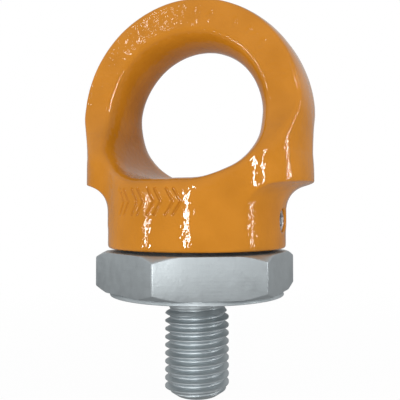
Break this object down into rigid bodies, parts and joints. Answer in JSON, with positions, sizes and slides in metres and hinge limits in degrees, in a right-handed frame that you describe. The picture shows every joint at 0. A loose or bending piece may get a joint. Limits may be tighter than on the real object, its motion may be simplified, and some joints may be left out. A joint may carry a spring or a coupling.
{
  "type": "swivel eye bolt",
  "caption": "Lifting eye bolt: a forged ring with broad shoulders turns on balls over a hexagon-headed threaded stud.",
  "frame": {"origin": "middle of the washer face under the hexagon, where it bears on the load", "axes": "+Z along the stud's axis, from the threaded shank towards the eye; +Y along the eye's opening; +X towards the shoulder over the ball filling screw"},
  "size_m": [0.0726, 0.0624, 0.121],
  "materials": {
    "orange_coat": "gloss powder coat over a forged surface",
    "plated_steel": "satin zinc plating",
    "bright_steel": "ground and polished",
    "black_rubber": "matt"
  },
  "bodies": {
    "stud": {"hex_stud": "plated_steel", "dust_seal": "black_rubber"},
    "eye": {"eye_body": "orange_coat", "ball_plug": "bright_steel"},
    "ball_row": {"ball_01": "bright_steel", "ball_02": "bright_steel", "ball_03": "bright_steel", "ball_04": "bright_steel", "ball_05": "bright_steel", "ball_06": "bright_steel", "ball_07": "bright_steel", "ball_08": "bright_steel", "ball_09": "bright_steel", "ball_10": "bright_steel", "ball_11": "bright_steel", "ball_12": "bright_steel", "ball_13": "bright_steel", "ball_14": "bright_steel", "ball_15": "bright_steel", "ball_16": "bright_steel", "ball_17": "bright_steel", "ball_18": "bright_steel"}
  },
  "joints": [
    {"name": "eye_swivel", "type": "hinge", "parent": "stud", "child": "eye", "pos_m": [0, 0, 0.0227], "axis": [0, 0, 1], "continuous": true},
    {"name": "ball_orbit", "type": "hinge", "parent": "stud", "child": "ball_row", "pos_m": [0, 0, 0.0227], "axis": [0, 0, 1], "continuous": true}
  ],
  "couplings": [
    {"joint": "ball_orbit", "follows": "eye_swivel", "ratio": 0.56}
  ]
}
